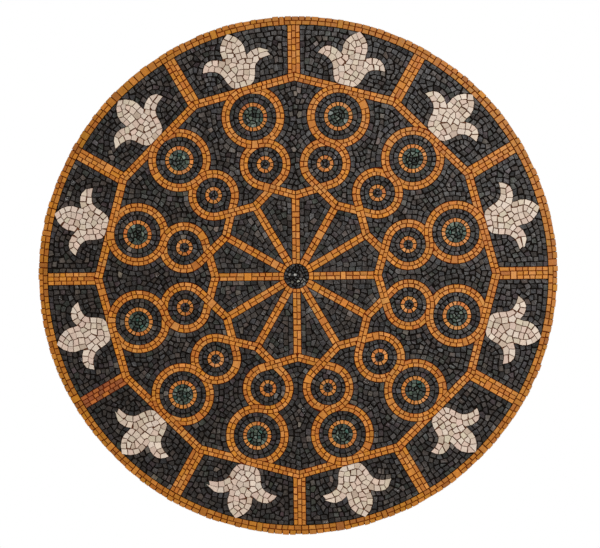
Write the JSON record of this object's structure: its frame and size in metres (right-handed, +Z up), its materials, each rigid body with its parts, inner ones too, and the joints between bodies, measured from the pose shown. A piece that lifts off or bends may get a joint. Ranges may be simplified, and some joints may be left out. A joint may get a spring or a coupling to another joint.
{
  "type": "mosaic panel",
  "caption": "Round stone mosaic wall panel: pale lilies and ochre interlaced loops round a star of spokes, set in dark tesserae, with a flat back.",
  "frame": {"origin": "centre of the flat back, where the panel meets the wall", "axes": "+Y into the wall, +Z up, +X to the right as the face is seen; the face looks towards -Y"},
  "size_m": [0.9999, 0.0115, 0.9999],
  "materials": {
    "dark_stone": "near-black honed stone tesserae with grey, green and purple tints",
    "ochre_stone": "ochre to orange honed stone tesserae",
    "cream_stone": "cream to pink-white honed marble tesserae",
    "green_stone": "dark green honed stone tesserae",
    "net": "pale glass-fibre net in adhesive"
  },
  "bodies": {
    "root": {"mesh_backing": "net", "dark_field": "dark_stone", "border": "ochre_stone", "lattice": "ochre_stone", "hub_roundel": "dark_stone", "lily_01": "cream_stone", "lily_02": "cream_stone", "lily_03": "cream_stone", "lily_04": "cream_stone", "lily_05": "cream_stone", "lily_06": "cream_stone", "lily_07": "cream_stone", "lily_08": "cream_stone", "lily_09": "cream_stone", "lily_10": "cream_stone", "lily_11": "cream_stone", "lily_12": "cream_stone", "ring_01": "ochre_stone", "ring_02": "ochre_stone", "ring_03": "ochre_stone", "ring_04": "ochre_stone", "ring_05": "ochre_stone", "ring_06": "ochre_stone", "ring_07": "ochre_stone", "ring_08": "ochre_stone", "ring_09": "ochre_stone", "ring_10": "ochre_stone", "ring_11": "ochre_stone", "ring_12": "ochre_stone", "small_ring_01": "ochre_stone", "small_ring_02": "ochre_stone", "small_ring_03": "ochre_stone", "small_ring_04": "ochre_stone", "small_ring_05": "ochre_stone", "small_ring_06": "ochre_stone", "small_ring_07": "ochre_stone", "small_ring_08": "ochre_stone", "small_ring_09": "ochre_stone", "small_ring_10": "ochre_stone", "small_ring_11": "ochre_stone", "small_ring_12": "ochre_stone", "green_eye_01": "green_stone", "green_eye_02": "green_stone", "green_eye_03": "green_stone", "green_eye_04": "green_stone", "green_eye_05": "green_stone", "green_eye_06": "green_stone", "green_eye_07": "green_stone", "green_eye_08": "green_stone", "green_eye_09": "green_stone", "green_eye_10": "green_stone", "green_eye_11": "green_stone", "green_eye_12": "green_stone"}
  },
  "joints": []
}
